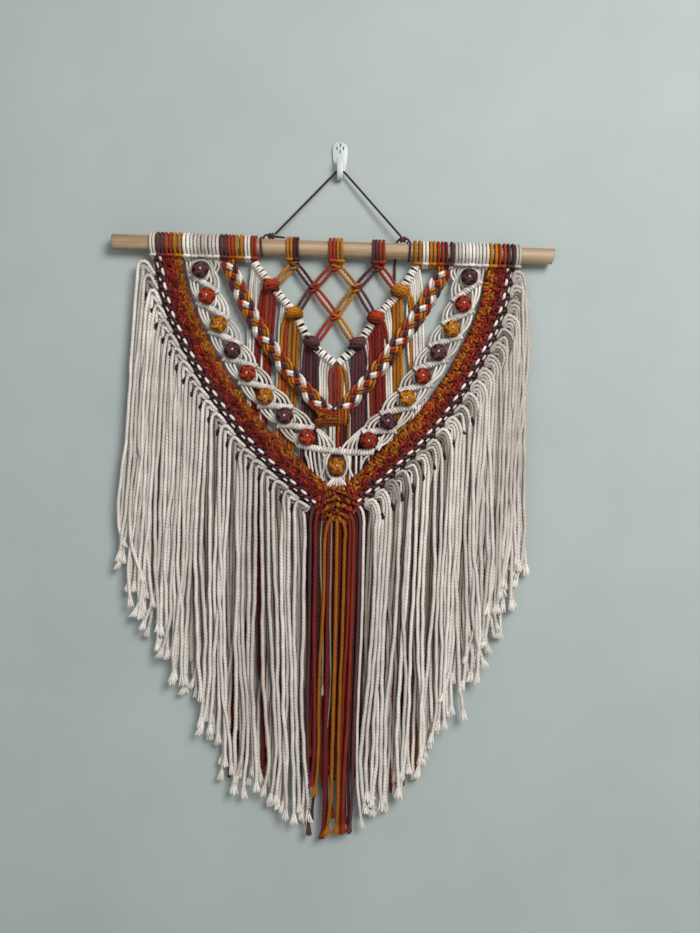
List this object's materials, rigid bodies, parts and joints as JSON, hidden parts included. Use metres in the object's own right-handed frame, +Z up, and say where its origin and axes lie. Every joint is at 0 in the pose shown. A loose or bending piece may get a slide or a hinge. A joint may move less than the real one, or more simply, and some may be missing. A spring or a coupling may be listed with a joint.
{
  "type": "macrame wall hanging on a wooden dowel with a wall hook",
  "caption": "Knotted cotton hanging with a curved band, a beaded-looking chain, a braided swag, an open net and long fringe, on a wooden dowel hung from a wall hook by a cord.",
  "frame": {"origin": "middle of the back of the wall hook's plate, on the wall", "axes": "+Z up, +X to the right as seen from the front, +Y into the wall; the front faces -Y"},
  "size_m": [0.4572, 0.0247, 0.7203],
  "materials": {
    "white_cotton": "twisted off-white cotton cord, matt and soft",
    "plum_cotton": "twisted plum cotton cord, matt",
    "rust_cotton": "twisted rust cotton cord, matt",
    "mustard_cotton": "twisted mustard cotton cord, matt",
    "burgundy_cotton": "twisted burgundy cotton cord, matt",
    "pine": "bare sanded pine",
    "white_plastic": "white moulded plastic, slightly glossy",
    "pin_steel": "small steel pin heads"
  },
  "bodies": {
    "root": {"dowel": "pine", "wall_hook": "white_plastic", "hanger_cord": "plum_cotton", "hanger_knot_left": "plum_cotton", "hanger_knot_right": "plum_cotton", "wraps_band_left": "burgundy_cotton", "wraps_chain_left": "white_cotton", "wraps_swag_left": "rust_cotton", "wraps_net_left": "mustard_cotton", "wraps_net_middle": "rust_cotton", "wraps_net_right": "plum_cotton", "wraps_swag_right": "rust_cotton", "wraps_chain_right": "white_cotton", "wraps_band_right": "burgundy_cotton", "band_left": "rust_cotton", "edging_left": "plum_cotton", "band_right": "rust_cotton", "edging_right": "plum_cotton", "middle_knot": "mustard_cotton", "chain_left": "white_cotton", "chain_berry_left_1": "plum_cotton", "chain_berry_left_2": "rust_cotton", "chain_berry_left_3": "mustard_cotton", "chain_berry_left_4": "plum_cotton", "chain_berry_left_5": "rust_cotton", "chain_berry_left_6": "mustard_cotton", "chain_berry_left_7": "plum_cotton", "chain_berry_left_8": "rust_cotton", "chain_right": "white_cotton", "chain_berry_right_1": "plum_cotton", "chain_berry_right_2": "rust_cotton", "chain_berry_right_3": "mustard_cotton", "chain_berry_right_4": "plum_cotton", "chain_berry_right_5": "rust_cotton", "chain_berry_right_6": "mustard_cotton", "chain_berry_right_7": "plum_cotton", "chain_berry_right_8": "rust_cotton", "chain_foot": "white_cotton", "chain_berry_foot": "mustard_cotton", "swag": "rust_cotton", "v_ridge": "white_cotton", "v_berry_left_1": "rust_cotton", "v_tassel_left_1": "rust_cotton", "v_berry_left_2": "mustard_cotton", "v_tassel_left_2": "mustard_cotton", "v_berry_left_3": "plum_cotton", "v_tassel_left_3": "plum_cotton", "v_berry_right_1": "mustard_cotton", "v_tassel_right_1": "mustard_cotton", "v_berry_right_2": "rust_cotton", "v_tassel_right_2": "rust_cotton", "v_berry_right_3": "plum_cotton", "v_tassel_right_3": "plum_cotton", "v_tassel_middle": "mustard_cotton", "open_net": "rust_cotton", "fringe_left": "white_cotton", "fringe_right": "white_cotton", "front_tassel": "mustard_cotton"}
  },
  "joints": []
}
